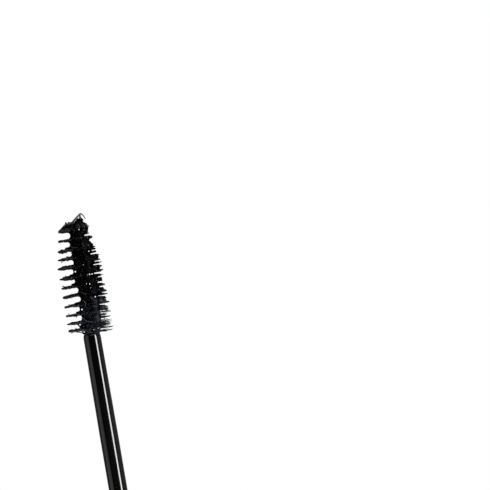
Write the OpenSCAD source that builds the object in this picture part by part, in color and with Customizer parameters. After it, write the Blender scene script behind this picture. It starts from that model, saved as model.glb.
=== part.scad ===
// Mascara tube with its wand drawn out and laid in line with it.
// Every piece is modelled about one axis, from the tube's base towards the cap's end,
// and that axis is laid along +X. The origin is the centre of the tube's base.
// The wand is modelled closed, in the tube, and then drawn out by wand_travel.

/* [Tube] */
// Outside diameter of the sleeve and the cap
body_d = 17; // [15:0.5:24]
// Length of the sleeve, from the base to its shoulder
sleeve_len = 72; // [66:1:100]
// Wall of the outer sleeve
sleeve_wall = 0.8; // [0.6:0.1:1.2]
// Wall of the inner bottle
bottle_wall = 1; // [0.8:0.1:1.4]
// Thickness of the base plug
plug_t = 2.4; // [1.6:0.2:4]
// Thickness of the ring on the sleeve's shoulder
collar_t = 1.2; // [0.8:0.1:2]

/* [Neck] */
// Diameter of the neck at the root of its thread
neck_d = 10.8; // [10:0.2:11.6]
// Wall of the neck, around the bore that holds the wiper
neck_wall = 1; // [0.8:0.05:1.3]
// Height of the neck above the collar
neck_h = 10.8; // [10.4:0.2:14]
// How far the thread stands out of the neck
thread_h = 0.7; // [0.5:0.05:0.8]
// Distance from one thread row to the next
thread_pitch = 2.5; // [2.4:0.05:2.8]
// Clearance between the wiper's lip and the stem
lip_gap = 0.06; // [0.03:0.01:0.1]

/* [Stem] */
// Diameter of the stem where the wiper's lip closes on it
stem_d = 4; // [3.4:0.05:4.8]
// How much thinner the stem is at the brush
stem_taper = 0.2; // [0:0.05:0.6]
// Length of the stem's rounded nose
nose_len = 1.2; // [0.4:0.1:3]
// Diameter of the flange at the stem's head
flange_d = 8.4; // [7:0.2:9]
// Diameter of the plug that fixes the stem in the cap
stem_plug_d = 5.8; // [5:0.2:6.4]

/* [Brush] */
// Length of the brush, from the stem's end to the end of its wire
brush_len = 24.4; // [18:0.2:32]
// Largest diameter of the brush
brush_d = 9.8; // [8:0.2:10.4]
// Diameter of the brush at its last row
brush_tip_d = 6.6; // [4:0.2:8]
// Distance from one row of bristles to the next, half a turn of the wire
row_pitch = 1.97; // [1.8:0.01:2.2]
// Fibres across the wire in each row
row_fibres = 12; // [6:1:12]
// Diameter of one fibre
fibre_d = 0.15; // [0.1:0.01:0.15]
// Diameter of each strand of the core wire
strand_d = 0.6; // [0.5:0.05:0.7]
// Clearance between the brush and the formula around it, when closed
brush_gap = 0.45; // [0.3:0.05:1]

/* [Cap] */
// Length of the cap
cap_len = 48; // [40:1:60]
// Wall of the cap's shell
cap_wall = 0.9; // [0.7:0.1:1.2]
// Thickness of the cap's closed end
end_t = 1.5; // [1:0.1:3]

/* [Layout] */
// How far the wand is drawn out of the tube
wand_travel = 135; // [110:1:160]

/* [Hidden] */
$fn = 72;
TINY = 0.01;
part_gap = 0.05;        // between pieces that are glued or pressed together
press_gap = 0.02;       // between a snap-in piece and its seat
cap_gap = 0.1;          // between the closed cap and the collar
edge_r = 0.7;           // rounded outer edges of the sleeve and the shell
arc_steps = 6;          // straight steps in each rounded edge

// The tube's stations, up its axis
body_r = body_d / 2;
bottle_r = body_r - sleeve_wall - part_gap;
bottle_in_r = bottle_r - bottle_wall;
bottle_base = plug_t + part_gap;
bottle_floor = bottle_base + 1.2;
lip_t = 1.2;            // the sleeve's inturned shoulder
neck_r = neck_d / 2;
bore_r = neck_r - neck_wall;
shoulder_drop = bottle_r - neck_r;
neck_start = sleeve_len - lip_t - part_gap;
collar_top = sleeve_len + collar_t;
neck_top = collar_top + neck_h;
collar_r = body_r - 0.12;
label_r = body_r - 2.2;
label_t = 0.12;

// The wiper
wiper_flange_t = 0.8;
wiper_top = neck_top + wiper_flange_t;
wiper_wall = 1;
wiper_cone_top = collar_top - 0.2;
wiper_lip_z = wiper_cone_top - 6.6;
wiper_lip_t = 0.6;
bead_z = neck_top - 4.5; // the snap bead that holds the wiper
bead_r = 0.12;

// The interrupted thread: rows in two sectors, with free sectors between them
sectors = 2;
neck_sector = 84;       // degrees of thread in each sector of the neck
cap_sector = 76;        // degrees of thread in each sector of the inner cap
lock_turn = 180 / sectors;
neck_rows = 3;
cap_rows = 2;
neck_row_t = 0.9;
cap_row_t = 0.8;
thread_slope = atan(thread_pitch / (PI * (neck_d + thread_h)));
thread_z = collar_top + 2.2;
crest_r = neck_r + thread_h;
crest_gap = 0.2;        // between a thread's crest and the wall that it faces
thread_taper = 0.15;    // each flank leans in by this much from root to crest
root_bury = 0.3;        // a row starts this far inside the wall that carries it
rim_r = crest_r + crest_gap;

// The wand's stations, as it stands closed in the tube
seal_t = 1;
seal_z = wiper_top + part_gap;
seal_r = rim_r - 0.08;
seal_bead_h = 0.3;      // the inner cap's bead that keeps the seal in
flange_z = seal_z + seal_t + part_gap;
flange_t = 0.8;
ceiling_z = flange_z + flange_t + part_gap;
ceiling_t = 1.25;
stem_plug_len = 10.3;
snap_z = ceiling_z + 6.2;
snap_r = 0.15;
boss_wall = 1.2;
boss_top = ceiling_z + stem_plug_len + 1.4;
cap_mouth = collar_top + cap_gap;
cap_end = cap_mouth + cap_len;
shell_in_r = body_r - cap_wall;
inner_cap_r = shell_in_r - part_gap;
inner_cap_mouth = cap_mouth + 0.9;
inner_cap_top = boss_top - 2.5;
cap_bury = min(root_bury, (inner_cap_r - rim_r) / 2);
flank_lean = thread_taper * (1 + (crest_gap + cap_bury) / (thread_h + cap_bury));
row_stack = (neck_row_t + cap_row_t) / 2 - flank_lean;
cap_thread_z = thread_z + thread_pitch - row_stack - part_gap;
stop_r = shell_in_r - 0.8;  // the shell's inner step that the inner cap butts on
stop_z = inner_cap_top + part_gap;

// The brush stands on the stem's end and points at the tube's base
brush_floor_gap = 2.9;  // from the brush's wire end to the bottle's floor
stem_end = bottle_floor + brush_floor_gap + brush_len;
stem_bore_depth = 9;
strand_gap = 0.16;      // between the strands, where the fibres pass
strand_offset = (strand_d + strand_gap) / 2;
wire_r = strand_offset + strand_d / 2;
nose_in = 0.65;         // how far the stem's nose narrows
first_row = 0.95;       // from the stem's end to the middle of the first row
bare_tip = 1.75;        // from the middle of the last row to the wire's end, at least
row_count = floor((brush_len - first_row - bare_tip) / row_pitch) + 1;
taper_start = first_row + max(row_count - 5, 0) * row_pitch;
last_row = first_row + (row_count - 1) * row_pitch;
fibre_step = row_pitch / row_fibres;
load_r = 2.1;           // the formula carried by the brush, heavier on one side
load_shift = 0.9;
load_start = 0.1;
load_end = brush_len + 0.6;
formula_r = bottle_in_r - part_gap;
channel_r = brush_d / 2 + brush_gap;
formula_top = sleeve_len - 12;

ROWS = [for (k = [1 : row_count]) str("bristle_row_", k < 10 ? "0" : "", k)];
TUBE_NODES = ["outer_sleeve", "base_plug", "base_label", "bottle", "shoulder_collar", "wiper", "formula"];
WAND_NODES = ["stem", "core_wire", "formula_on_brush", "inner_cap", "cap_shell"];

// ---- helpers ----

// Lays the mascara's axis along +X.
module on_axis() {
    rotate([0, 90, 0]) children();
}

// Lays the axis along +X and draws the piece out of the tube.
module drawn_out() {
    translate([wand_travel, 0, 0]) on_axis() children();
}

// Puts a piece that is measured from the stem's end, towards the brush's tip, on the wand.
module at_stem_end() {
    translate([0, 0, stem_end]) mirror([0, 0, 1]) children();
}

// Points of a quarter round about a centre, from one angle to another.
function round_edge(cx, cz, r, from, to) =
    [for (i = [0 : arc_steps]) let (a = from + (to - from) * i / arc_steps) [cx + r * cos(a), cz + r * sin(a)]];

// Points of the stem's nose: a quarter ellipse from its flat end out to its side.
function nose_edge(r) =
    [for (i = [0 : arc_steps]) let (a = -90 + 90 * i / arc_steps)
        [r - nose_in + nose_in * cos(a), stem_end + nose_len + nose_len * sin(a)]];

// Turns a profile of [radius, height] points about the axis.
module turned(points) {
    rotate_extrude() polygon(points);
}

// One flat-topped ring between two radii.
module ring(r_in, r_out, z, t) {
    turned([[r_in, z], [r_out, z], [r_out, z + t], [r_in, z + t]]);
}

// One thread row: a sloped sector of a ring with a tapering crest.
module thread_row(root_r, tip_r, thickness, sector, z, about) {
    rotate([0, 0, about]) translate([0, 0, z]) rotate([thread_slope, 0, 0]) rotate([0, 0, -sector / 2])
        rotate_extrude(angle = sector)
            polygon([[root_r, -thickness / 2], [tip_r, -thickness / 2 + thread_taper],
                [tip_r, thickness / 2 - thread_taper], [root_r, thickness / 2]]);
}

// Rows of thread in every sector, each sector half a pitch further up.
module thread(root_r, tip_r, thickness, sector, z, rows, about) {
    for (s = [0 : sectors - 1], n = [0 : rows - 1])
        thread_row(root_r, tip_r, thickness, sector, z + (n + s / sectors) * thread_pitch, about + s * 360 / sectors);
}

// ---- the tube ----

module outer_sleeve() {
    in_r = body_r - sleeve_wall;
    color("#101012") turned(concat(
        [[in_r, 0]],
        round_edge(body_r - edge_r / 2, edge_r / 2, edge_r / 2, -90, 0),
        round_edge(body_r - edge_r / 2, sleeve_len - edge_r / 2, edge_r / 2, 0, 90),
        [[neck_r + part_gap, sleeve_len], [neck_r + part_gap, sleeve_len - lip_t], [in_r, sleeve_len - lip_t]]
    ));
}

module base_plug() {
    color("#141416") difference() {
        cylinder(r = body_r - sleeve_wall - press_gap, h = plug_t);
        translate([0, 0, -TINY]) cylinder(r = label_r, h = label_t + TINY);
    }
}

module base_label() {
    color("#c9c7c2") cylinder(r = label_r - part_gap, h = label_t - press_gap);
}

module bottle() {
    shoulder_top = neck_start - TINY;
    shoulder_foot = shoulder_top - shoulder_drop;
    inner_foot = shoulder_foot - bottle_wall / 2;
    inner_top = inner_foot + bottle_in_r - bore_r;
    color("#1d1d20") union() {
        turned([
            [0, bottle_base], [bottle_r, bottle_base], [bottle_r, shoulder_foot],
            [neck_r, shoulder_top], [neck_r, neck_top], [bore_r, neck_top],
            [bore_r, bead_z + 2 * bead_r], [bore_r + bead_r, bead_z + bead_r], [bore_r + bead_r, bead_z - bead_r],
            [bore_r, bead_z - 2 * bead_r], [bore_r, inner_top], [bottle_in_r, inner_foot],
            [bottle_in_r, bottle_floor], [0, bottle_floor]
        ]);
        thread(neck_r - root_bury, crest_r, neck_row_t, neck_sector, thread_z, neck_rows, 0);
    }
}

module shoulder_collar() {
    edge = 0.2;
    foot = sleeve_len + press_gap;
    color("#8d8f94") turned([
        [neck_r + part_gap, foot], [collar_r - edge, foot], [collar_r, foot + edge],
        [collar_r, collar_top - edge], [collar_r - edge, collar_top], [neck_r + part_gap, collar_top]
    ]);
}

module wiper() {
    out_r = bore_r - press_gap;
    in_r = out_r - wiper_wall;
    lip_r = stem_d / 2 + lip_gap;
    foot_r = lip_r + 0.7;
    color("#dcdcd6") turned([
        [lip_r, wiper_lip_z], [foot_r, wiper_lip_z + 0.3], [out_r - 0.3, wiper_cone_top], [out_r, wiper_cone_top + 1],
        [out_r, bead_z - 2 * bead_r], [out_r + bead_r, bead_z - bead_r], [out_r + bead_r, bead_z + bead_r],
        [out_r, bead_z + 2 * bead_r], [out_r, neck_top + TINY], [neck_r - 0.1, neck_top + TINY],
        [neck_r - 0.1, wiper_top], [in_r + 0.4, wiper_top], [in_r, wiper_top - 0.4], [in_r, wiper_cone_top],
        [lip_r, wiper_lip_z + wiper_lip_t]
    ]);
}

module formula() {
    pool = 0.8;
    floor_z = bottle_floor + part_gap;
    color("#060607") turned([
        [0, floor_z], [formula_r, floor_z], [formula_r, formula_top], [channel_r + 0.2, formula_top - 3],
        [channel_r, formula_top - 5], [channel_r, floor_z + pool + 0.6], [channel_r - 0.6, floor_z + pool],
        [0, floor_z + pool]
    ]);
}

// ---- the loose seal, which the stem's flange holds in the cap ----

module seal_ring() {
    color("#bdbbb4") ring(stem_d / 2 + 0.1, seal_r, seal_z, seal_t);
}

// ---- the wand ----

module stem() {
    tip_r = (stem_d - stem_taper) / 2;
    root_r = stem_d / 2;
    plug_r = stem_plug_d / 2;
    plug_top = ceiling_z + stem_plug_len;
    draft_len = 22;      // the stem tapers over this length and is parallel above it
    color("#0b0b0c") difference() {
        turned(concat(
            [[0, stem_end]],
            nose_edge(tip_r),
            [[root_r, stem_end + draft_len], [root_r, flange_z], [flange_d / 2, flange_z],
            [flange_d / 2, flange_z + flange_t], [plug_r, flange_z + flange_t], [plug_r, snap_z - 2 * snap_r],
            [plug_r + snap_r, snap_z], [plug_r, snap_z + 2 * snap_r], [plug_r, plug_top - 0.5],
            [plug_r - 0.5, plug_top], [0, plug_top]]
        ));
        translate([0, 0, stem_end - TINY]) cylinder(r = wire_r + press_gap, h = stem_bore_depth + TINY);
    }
}

// The core: two strands twisted half a turn in each row of bristles.
function strand_point(i, steps, from, to) =
    let (s = from + (to - from) * i / steps, a = row_angle(s)) [strand_offset * sin(a), strand_offset * cos(a), s];

// The fibres' direction at a distance along the brush, which the strands stand square to.
function row_angle(s) = 90 + 180 * (s - first_row) / row_pitch;

// A tube of a given radius along a list of points that climbs the axis.
module tube_along(path, r, sides) {
    n = len(path);
    points = [for (p = path, k = [0 : sides - 1]) p + r * [cos(360 * k / sides), sin(360 * k / sides), 0]];
    walls = [for (i = [0 : n - 2], k = [0 : sides - 1]) let (l = (k + 1) % sides)
        [i * sides + k, (i + 1) * sides + k, (i + 1) * sides + l, i * sides + l]];
    foot = [for (k = [0 : sides - 1]) k];
    head = [for (k = [sides - 1 : -1 : 0]) (n - 1) * sides + k];
    polyhedron(points, concat([foot, head], walls), convexity = 10);
}

module core_wire() {
    root = -stem_bore_depth + 0.2;
    steps = 150;
    color("#7d7f84") at_stem_end() for (side = [0, 180]) rotate([0, 0, side])
        tube_along([for (i = [0 : steps]) strand_point(i, steps, root, brush_len)], strand_d / 2, 8);
}

// The formula carried by the brush, a soft mass that lies to one side of the wire.
module formula_on_brush() {
    round_r = 1.2;
    color("#050506") at_stem_end() rotate([0, 0, 90]) translate([load_shift, 0, 0]) turned(concat(
        [[0, load_start]],
        round_edge(load_r - round_r, load_start + round_r, round_r, -90, 0),
        round_edge(load_r - round_r, load_end - round_r, round_r, 0, 90),
        [[0, load_end]]
    ));
}

// The brush's radius at a distance along it: straight, then tapering to the last row.
function brush_radius(s) =
    s < taper_start ? brush_d / 2
    : brush_d / 2 - (brush_d - brush_tip_d) / 2 * (s - taper_start) / max(last_row - taper_start, row_pitch);

// One row: fibres laid across the wire, fanned out over half a turn.
module bristle_row(k) {
    color("#0a0a0b") at_stem_end() for (i = [0 : row_fibres - 1]) {
        s = first_row + k * row_pitch + (i - (row_fibres - 1) / 2) * fibre_step;
        r = brush_radius(s);
        translate([0, 0, s]) rotate([0, 0, -row_angle(s)]) rotate([0, 90, 0])
            cylinder(d = fibre_d, h = 2 * r, center = true, $fn = 16);
    }
}

module inner_cap() {
    boss_r = stem_plug_d / 2 + part_gap + boss_wall;
    socket_r = stem_plug_d / 2 + part_gap;
    seal_foot = seal_z - part_gap;
    ribs = 6;
    rib_t = 0.9;
    color("#e4e3df") union() {
        difference() {
            union() {
                turned([
                    [rim_r, inner_cap_mouth], [inner_cap_r, inner_cap_mouth], [inner_cap_r, inner_cap_top],
                    [inner_cap_r - 0.9, inner_cap_top], [inner_cap_r - 0.9, ceiling_z + ceiling_t],
                    [boss_r, ceiling_z + ceiling_t], [boss_r, boss_top], [0, boss_top], [0, ceiling_z],
                    [rim_r, ceiling_z], [rim_r, seal_foot], [rim_r - seal_bead_h, seal_foot - 0.1],
                    [rim_r - seal_bead_h, seal_foot - 0.3], [rim_r, seal_foot - 0.6]
                ]);
                for (n = [0 : ribs - 1]) rotate([0, 0, n * 360 / ribs])
                    translate([boss_r - 0.2, -rib_t / 2, ceiling_z + ceiling_t - TINY])
                        cube([inner_cap_r - boss_r - 0.2, rib_t, inner_cap_top - ceiling_z - ceiling_t - 1]);
            }
            turned([
                [0, ceiling_z - TINY], [socket_r, ceiling_z - TINY], [socket_r, snap_z - 2 * snap_r],
                [socket_r + snap_r, snap_z], [socket_r, snap_z + 2 * snap_r],
                [socket_r, ceiling_z + stem_plug_len + part_gap], [0, ceiling_z + stem_plug_len + part_gap]
            ]);
        }
        thread(rim_r + cap_bury, neck_r + crest_gap, cap_row_t, cap_sector, cap_thread_z, cap_rows, lock_turn);
    }
}

module cap_shell() {
    inside_end = cap_end - end_t;
    color("#101012") turned(concat(
        [[shell_in_r, cap_mouth]],
        round_edge(body_r - edge_r / 2, cap_mouth + edge_r / 2, edge_r / 2, -90, 0),
        round_edge(body_r - edge_r, cap_end - edge_r, edge_r, 0, 90),
        [[0, cap_end], [0, inside_end], [stop_r, inside_end], [stop_r, stop_z], [shell_in_r, stop_z]]
    ));
}

on_axis() outer_sleeve();
on_axis() base_plug();
on_axis() base_label();
on_axis() bottle();
on_axis() shoulder_collar();
on_axis() wiper();
on_axis() formula();
drawn_out() seal_ring();
drawn_out() stem();
drawn_out() core_wire();
drawn_out() formula_on_brush();
drawn_out() inner_cap();
drawn_out() cap_shell();
for (k = [0 : row_count - 1])
    drawn_out() bristle_row(k);
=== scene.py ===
"""Mascara tube with its wand drawn out.

The tube and the cap keep their exact solids and get their finishes here. The brush is rebuilt:
twelve rows of clumped bristles, the mascara that they carry and the hooked strand at its tip.
Lengths inside the functions are millimetres along the brush (from the shoulder of the stem's nose
towards the tip), sideways and up; a mesh is stored in metres in the frame of the model.
"""
import math

import bpy
import numpy as np
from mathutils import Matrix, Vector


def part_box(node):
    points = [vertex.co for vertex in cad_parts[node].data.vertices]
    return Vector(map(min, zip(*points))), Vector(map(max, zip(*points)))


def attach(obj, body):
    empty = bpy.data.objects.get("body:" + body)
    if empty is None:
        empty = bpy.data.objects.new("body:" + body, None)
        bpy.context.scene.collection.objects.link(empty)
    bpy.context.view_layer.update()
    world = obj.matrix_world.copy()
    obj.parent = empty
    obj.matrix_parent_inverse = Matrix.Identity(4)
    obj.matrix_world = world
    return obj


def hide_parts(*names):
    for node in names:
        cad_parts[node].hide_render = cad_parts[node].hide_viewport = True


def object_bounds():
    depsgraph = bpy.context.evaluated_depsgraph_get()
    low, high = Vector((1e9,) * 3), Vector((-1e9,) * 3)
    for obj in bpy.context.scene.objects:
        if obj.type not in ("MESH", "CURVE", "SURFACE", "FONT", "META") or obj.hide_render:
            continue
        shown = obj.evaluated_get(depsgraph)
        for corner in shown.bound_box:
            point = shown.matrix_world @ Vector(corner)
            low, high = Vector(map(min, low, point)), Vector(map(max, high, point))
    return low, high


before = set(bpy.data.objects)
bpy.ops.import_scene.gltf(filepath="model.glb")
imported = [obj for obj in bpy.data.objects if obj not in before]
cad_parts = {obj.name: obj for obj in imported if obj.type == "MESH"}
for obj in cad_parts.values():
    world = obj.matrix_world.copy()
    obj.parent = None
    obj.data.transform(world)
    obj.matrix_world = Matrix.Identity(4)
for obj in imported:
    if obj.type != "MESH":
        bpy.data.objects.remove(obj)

bl_info = {
    "name": "Mascara Tube",
    "version": (1, 0, 0),
    "blender": (4, 5, 0),
    "location": "3D View > Sidebar > Mascara",
    "description": "Builds the loaded brush, the finishes and the studio for a mascara tube",
    "category": "Add Mesh",
}

MM = 0.001
CAD_BOX = [list(corner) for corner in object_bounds()]
NOSE_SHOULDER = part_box("stem")[0][0] / MM + 0.8     # where the stem's nose starts to round
FLOOR_Z = CAD_BOX[0][2]
ROWS = ["bristle_row_%02d" % k for k in range(1, 13)]

# How far off the core's axis the clumps and hairs start, in millimetres, and how many clumps of each
# row fill the brush's middle.
COMB_FOOT = 1.1
TUFT_FOOT = 1.9
FILLER_FOOT = 0.5
HAIR_FOOT = 0.8
FILLERS = 14
# The carried mascara: the size of its grid's cells, and where its plan begins, in millimetres.
CELL = 0.062
BODY_START = 0.2
# How many times paler than the black mascara the painted sheen is: grey streaks painted on the brush's
# mascara towards the stem.
PAINTED_SHEEN_TINT = 34.0

# One line for each row's long clump, which points to -Y, all in millimetres: where it leaves the
# core, where its tip is, its reach, its half thickness at four places on the way out; then how far
# its neighbours round the brush reach, as a share of it, and the number of side hairs.
COMB = [
    (1.75, 1.82, 4.92, 0.30, 0.26, 0.30, 0.30, 0.92, 3),
    (3.45, 3.35, 4.98, 0.32, 0.28, 0.26, 0.17, 0.90, 3),
    (5.12, 5.17, 4.92, 0.34, 0.26, 0.21, 0.23, 0.80, 2),
    (7.35, 7.10, 4.92, 0.33, 0.31, 0.25, 0.24, 0.82, 2),
    (9.45, 9.22, 4.92, 0.34, 0.28, 0.37, 0.26, 0.86, 3),
    (11.40, 11.20, 4.90, 0.38, 0.24, 0.34, 0.18, 0.80, 4),
    (13.35, 13.22, 4.95, 0.50, 0.54, 0.40, 0.17, 0.74, 8),
    (15.55, 15.50, 4.97, 0.44, 0.36, 0.44, 0.22, 0.93, 4),
    (17.45, 17.38, 4.62, 0.32, 0.28, 0.33, 0.17, 0.90, 9),
    (19.30, 19.17, 4.28, 0.34, 0.22, 0.44, 0.30, 0.86, 3),
    (21.40, 21.40, 3.85, 0.26, 0.25, 0.25, 0.30, 0.90, 1),
    (23.75, 23.45, 3.45, 0.70, 0.60, 0.44, 0.32, 0.88, 1),
]

# The short clumps that point to +Y, in millimetres: root, tip, reach, half thickness.
TUFTS = [
    (0.95, 0.62, 4.5, 0.09), (1.50, 1.35, 4.8, 0.13), (2.20, 1.95, 4.4, 0.12), (2.60, 2.55, 4.7, 0.07),
    (3.00, 2.95, 4.8, 0.07), (3.75, 3.60, 4.5, 0.11), (4.30, 4.20, 3.9, 0.15), (4.95, 4.65, 4.9, 0.11),
    (5.60, 5.40, 4.5, 0.20), (5.95, 5.85, 4.4, 0.20), (6.95, 6.78, 4.9, 0.22), (7.40, 7.30, 4.3, 0.24),
    (7.75, 7.75, 4.4, 0.20), (8.75, 8.55, 4.8, 0.16), (9.40, 9.30, 4.75, 0.24), (9.85, 9.65, 4.3, 0.22),
    (10.90, 10.60, 4.6, 0.22), (11.75, 11.75, 4.0, 0.22), (12.05, 12.20, 4.1, 0.18),
    (12.95, 12.82, 4.6, 0.08), (13.85, 13.85, 4.7, 0.22), (14.50, 14.75, 4.6, 0.22),
    (15.60, 15.60, 4.7, 0.13), (16.30, 16.20, 4.5, 0.20), (16.70, 16.75, 4.2, 0.20),
    (17.20, 17.20, 4.4, 0.20), (18.00, 18.05, 3.7, 0.15), (18.75, 18.65, 3.9, 0.15),
    (19.20, 19.10, 3.9, 0.14), (19.70, 19.60, 3.5, 0.30), (20.20, 20.10, 3.1, 0.28),
    (21.22, 21.28, 3.62, 0.28), (22.50, 22.15, 3.1, 0.12), (23.10, 23.05, 2.9, 0.26),
    (23.75, 23.70, 3.2, 0.30), (24.20, 24.15, 2.9, 0.26),
]

# Clear spaces through the mascara, each wider or narrower from its inner end to its outer one, in
# millimetres: along and sideways of the inner end, the same of the outer end, both half widths.
COMB_SPACES = [
    (2.38, -2.62, 2.60, -6, 0.30, 0.52), (4.30, -2.05, 4.35, -6, 0.60, 0.62),
    (6.30, -2.10, 6.20, -6, 0.50, 0.72), (8.40, -1.60, 8.20, -6, 0.56, 0.80),
    (10.35, -1.75, 10.25, -6, 0.56, 0.78), (12.40, -2.05, 12.15, -6, 0.42, 0.88),
    (14.50, -2.15, 14.45, -6, 0.52, 0.62), (16.45, -1.80, 16.50, -6, 0.56, 0.66),
    (18.40, -1.85, 18.40, -6, 0.55, 0.66), (20.45, -1.90, 20.45, -6, 0.52, 0.60),
    (22.35, -1.65, 22.35, -6, 0.66, 0.72), (0.55, -2.40, 0.40, -6, 0.35, 0.90),
]
TUFT_SPACES = [
    (6.50, 2.90, 6.30, 5.5, 0.08, 0.26), (8.45, 2.90, 8.10, 5.5, 0.09, 0.15),
    (8.98, 3.85, 8.98, 5.5, 0.08, 0.20), (10.30, 3.50, 10.20, 5.5, 0.08, 0.28),
    (11.30, 3.30, 11.18, 5.5, 0.10, 0.28), (12.35, 3.45, 12.60, 5.5, 0.12, 0.22),
    (13.35, 2.85, 13.25, 5.5, 0.10, 0.26), (15.22, 3.00, 15.20, 5.5, 0.08, 0.16),
    (15.90, 3.35, 15.92, 5.5, 0.07, 0.12), (17.62, 2.75, 17.72, 5.5, 0.08, 0.26),
    (18.35, 3.15, 18.36, 4.5, 0.07, 0.09), (18.90, 3.60, 18.90, 4.5, 0.04, 0.10),
    (21.84, 2.20, 21.84, 5.5, 0.13, 0.16), (20.80, 3.10, 20.75, 5.5, 0.10, 0.30),
    (1.30, 2.40, 0.98, 4.4, 0.08, 0.10),
]

# Round openings through the mascara, in millimetres: along, sideways, radius.
PINHOLES = [
    (14.40, -1.20, 0.17), (6.05, -1.15, 0.17), (1.20, -1.50, 0.15), (2.85, -2.15, 0.15), (1.25, 0.57, 0.14),
    (1.50, 1.70, 0.17), (11.40, 0.75, 0.15), (11.28, 1.42, 0.15), (10.85, 1.90, 0.09), (10.40, 1.50, 0.10),
    (9.10, 0.80, 0.09), (8.30, 2.15, 0.15), (23.30, 1.10, 0.15), (24.20, 0.28, 0.12), (25.80, 1.42, 0.13),
    (15.60, 0.80, 0.11), (19.40, 0.80, 0.09), (19.40, -0.80, 0.09), (13.32, 1.25, 0.09),
    (13.32, 1.75, 0.15), (13.28, 2.30, 0.15), (18.22, 2.45, 0.17), (5.02, 2.80, 0.14), (4.30, 2.80, 0.15),
    (7.70, 4.05, 0.16), (7.25, 4.20, 0.12), (3.30, 2.90, 0.13), (2.98, 2.60, 0.12), (16.85, 3.85, 0.12),
]

# Threads of mascara that stretch from one clump to another: three points along, sideways and up.
WEBS = [
    ((3.3, -2.95, 0.1), (2.8, -2.45, 0.3), (2.3, -2.2, 0.2)),
    ((1.6, -3.5, 0), (1.25, -2.9, 0.2), (1.12, -2.0, 0.2)),
    ((1.1, -2.0, 0.3), (0.8, -1.6, 0.6), (0.35, -1.3, 0.7)),
    ((1.75, 1.3, 0.9), (1.8, 1.75, 0.9), (1.15, 2.0, 0.6)),
    ((0.95, 0.3, 1.4), (0.5, 0.75, 1.5), (0.85, 1.3, 1.3)),
    ((14.9, -1.35, 0.2), (14.4, -1.5, 0.4), (13.9, -1.4, 0.2)),
    ((5.25, 3.2, 0.3), (4.7, 3.25, 0.4), (4.2, 3.35, 0.3)),
    ((4.1, 3.4, 0.2), (3.7, 3.25, 0.4), (3.1, 3.35, 0.2)),
    ((3.0, 3.2, 0.2), (2.7, 3.3, 0.3), (2.3, 3.1, 0.2)),
    ((8.1, -0.3, 3.6), (7.6, 0.6, 4.0), (6.7, 0.1, 3.6)),
    ((10.1, -0.9, 3.5), (9.8, 0.1, 4.0), (9.1, 0.6, 3.7)),
    ((4.3, -0.9, 3.5), (3.3, -0.2, 3.9), (3.15, 1.1, 3.5)),
    ((13.9, 0.15, 3.6), (13.5, 0.35, 4.0), (13.1, 0.25, 3.6)),
    ((19.9, -0.9, 2.7), (19.4, -0.4, 3.2), (19.4, 0.6, 2.9)),
]


class MascaraBrush(bpy.types.PropertyGroup):
    """Sizes of the loaded brush."""
    fan: bpy.props.IntProperty(
        name="Clumps in a fan", description="Clumps round the brush in each row's comb side",
        default=9, min=3, max=15)
    hairs: bpy.props.IntProperty(
        name="Fine hairs", description="Single bristle ends that stand out of each row",
        default=110, min=0, max=300)
    hair_radius: bpy.props.FloatProperty(
        name="Hair radius", description="Radius of a single coated bristle",
        default=0.055 * MM, precision=6,
        unit="LENGTH", subtype="DISTANCE")
    lump: bpy.props.FloatProperty(
        name="Lumps", description="Height of the lumps in the carried mascara",
        default=0.15 * MM, precision=6,
        unit="LENGTH", subtype="DISTANCE")
    seed: bpy.props.IntProperty(
        name="Seed", description="Another seed clumps the bristles another way", default=7)


class MascaraFinish(bpy.types.PropertyGroup):
    """Colours of the finishes."""
    shell: bpy.props.FloatVectorProperty(
        name="Shell", description="Colour of the sleeve and the cap", subtype="COLOR",
        default=(0.006, 0.006, 0.007))
    stem: bpy.props.FloatVectorProperty(
        name="Stem", description="Colour of the stem", subtype="COLOR", default=(0.0012, 0.0012, 0.0014))
    mascara: bpy.props.FloatVectorProperty(
        name="Mascara", description="Colour of the mascara", subtype="COLOR",
        default=(0.00048, 0.00053, 0.00067))
    collar: bpy.props.FloatVectorProperty(
        name="Collar", description="Colour of the metal ring", subtype="COLOR", default=(0.23, 0.235, 0.25))
    natural: bpy.props.FloatVectorProperty(
        name="Natural plastic", description="Colour of the wiper and the cap's liner", subtype="COLOR",
        default=(0.78, 0.78, 0.75))


class MascaraStudio(bpy.types.PropertyGroup):
    """The camera and the lights."""
    lens: bpy.props.FloatProperty(
        name="Lens", description="Focal length of the camera", default=100.0, unit="CAMERA")
    height: bpy.props.FloatProperty(
        name="Camera height", description="Camera's height over the brush's axis", default=295.9 * MM,
        unit="LENGTH")
    lean: bpy.props.FloatProperty(
        name="Lean", description="Turn of the stem in the view", default=math.radians(9.7), subtype="ANGLE")
    strip: bpy.props.FloatProperty(
        name="Strip light", description="Radiance of the narrow light along the stem", default=15.5, min=0)
    panel: bpy.props.FloatProperty(
        name="Side panel", description="Radiance of the wide soft panel", default=0.5, min=0)


# ---- surfaces ----

def mesh_object(name, verts, quads, tris=None):
    """A mesh object in metres from whole arrays of corners, quads and triangles."""
    tris = np.zeros((0, 3), dtype=np.int64) if tris is None else tris
    mesh = bpy.data.meshes.new(name)
    loops = np.concatenate([quads.ravel(), tris.ravel()])
    sizes = np.concatenate([np.full(len(quads), 4), np.full(len(tris), 3)])
    mesh.vertices.add(len(verts))
    mesh.vertices.foreach_set("co", (verts * MM).astype(np.float32).ravel())
    mesh.loops.add(len(loops))
    mesh.loops.foreach_set("vertex_index", loops.astype(np.int32))
    mesh.polygons.add(len(sizes))
    mesh.polygons.foreach_set("loop_start", (np.cumsum(sizes) - sizes).astype(np.int32))
    mesh.polygons.foreach_set("use_smooth", np.ones(len(sizes), dtype=bool))
    mesh.update(calc_edges=True)
    mesh.validate()
    piece = bpy.data.objects.new(name, mesh)
    bpy.context.scene.collection.objects.link(piece)
    return piece


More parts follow.
